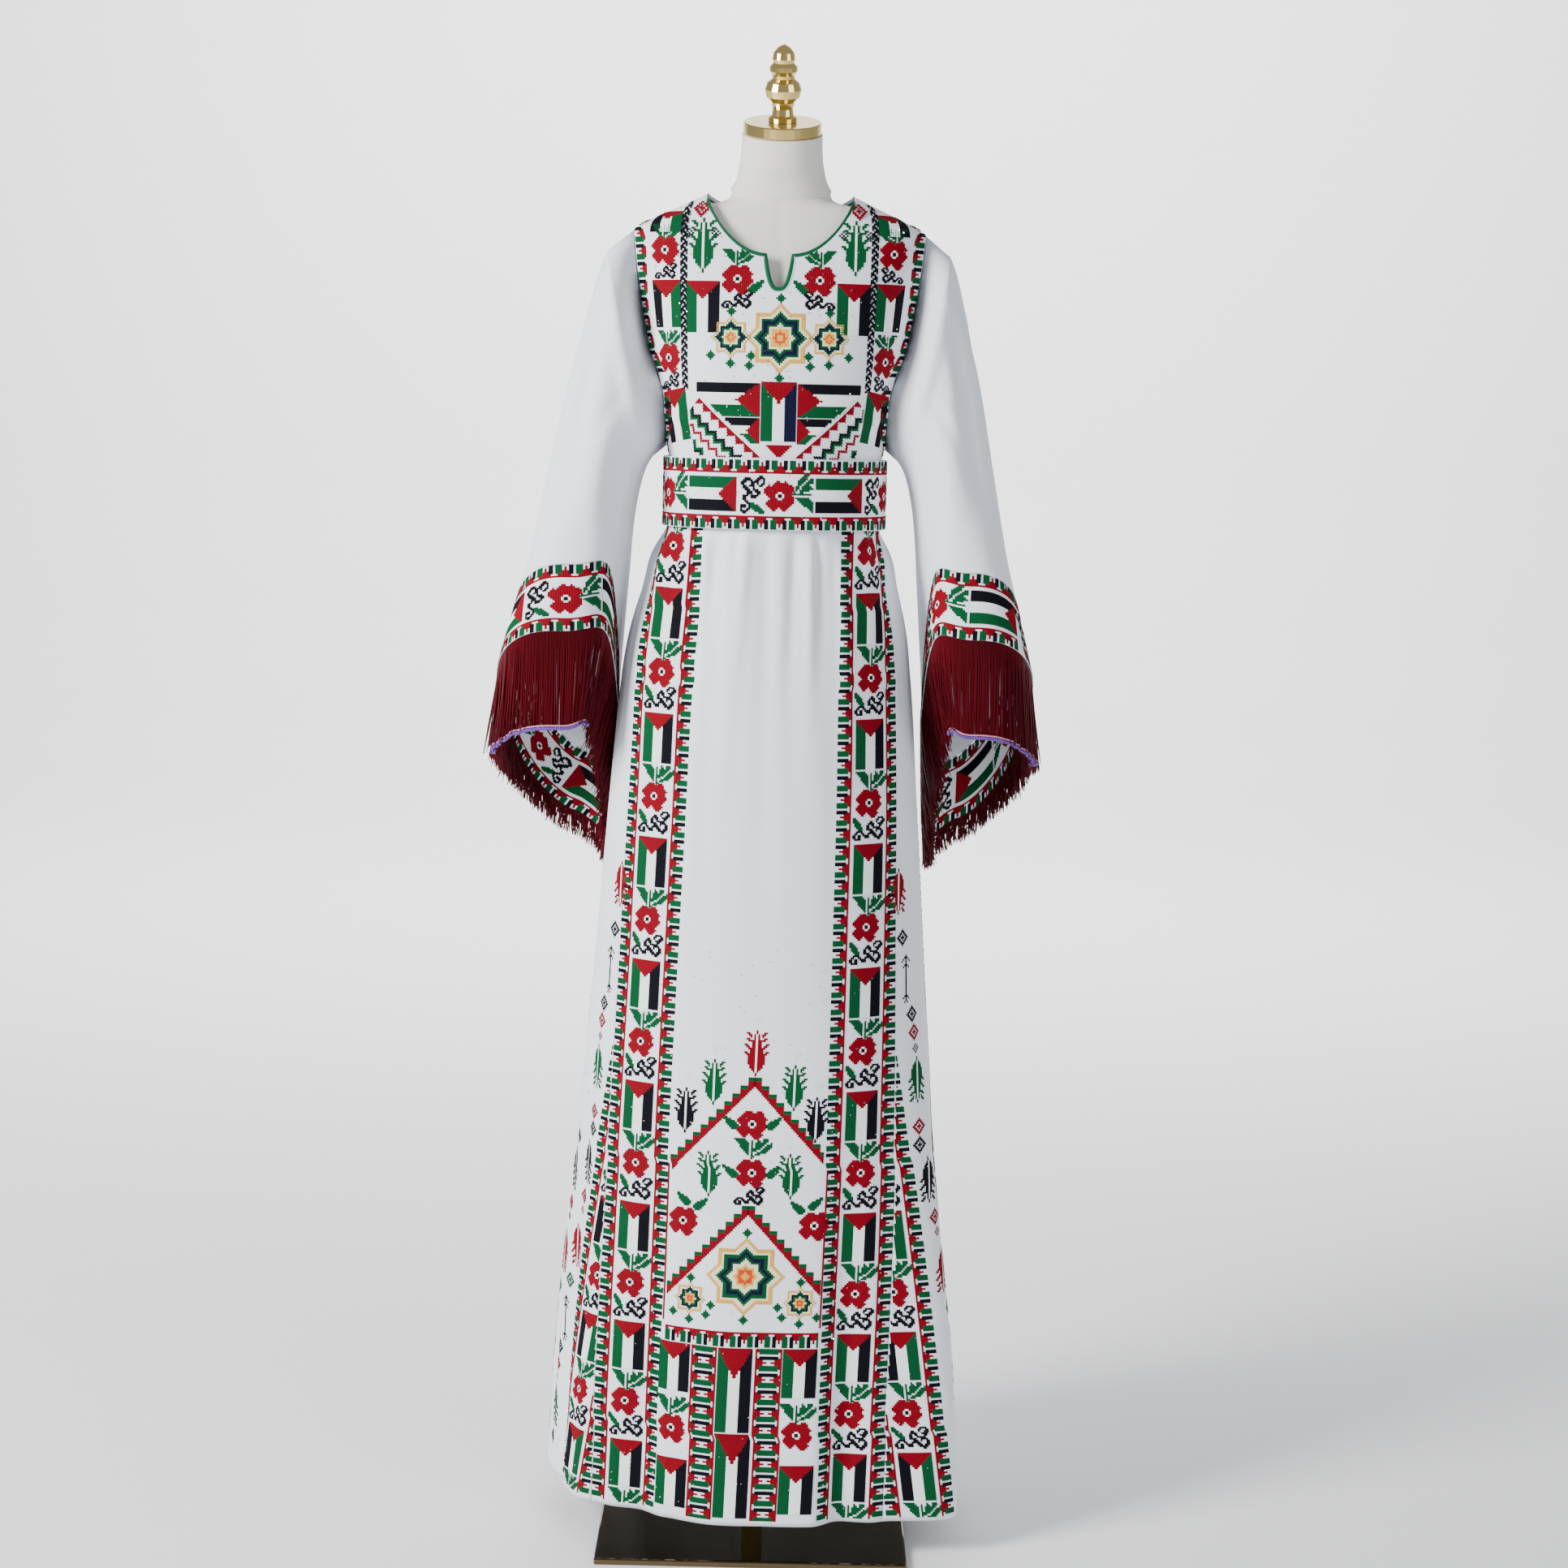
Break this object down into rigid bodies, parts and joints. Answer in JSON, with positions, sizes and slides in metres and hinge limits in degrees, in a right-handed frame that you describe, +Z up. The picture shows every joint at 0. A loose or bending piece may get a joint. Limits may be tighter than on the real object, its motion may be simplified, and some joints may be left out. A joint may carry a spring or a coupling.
{
  "type": "palestinian thobe dress on a dress form with its stand",
  "caption": "Long embroidered white dress with belt, bell sleeves, stitched cuffs and burgundy fringe, worn by a limbless dress form on a square brass base.",
  "frame": {"origin": "middle of the base plate's underside", "axes": "+Z up, the dress faces -Y, +X is to the right in the picture"},
  "size_m": [0.6497, 0.3764, 1.7239],
  "materials": {
    "brass": "polished",
    "linen": "woven linen",
    "white_crepe": "matt crepe",
    "green_tape": "woven tape",
    "burgundy_thread": "twisted thread"
  },
  "bodies": {
    "root": {"base_plate": "brass", "stand_pole": "brass", "form_torso": "linen", "neck_cap": "brass", "finial": "brass", "bodice_front": "white_crepe", "bodice_back": "white_crepe", "neck_binding": "green_tape", "skirt_front": "white_crepe", "skirt_side_left": "white_crepe", "skirt_side_right": "white_crepe", "skirt_back": "white_crepe", "belt": "white_crepe", "sleeve_left": "white_crepe", "sleeve_right": "white_crepe", "cuff_left": "white_crepe", "cuff_right": "white_crepe", "fringe_left": "burgundy_thread", "fringe_right": "burgundy_thread"}
  },
  "joints": []
}
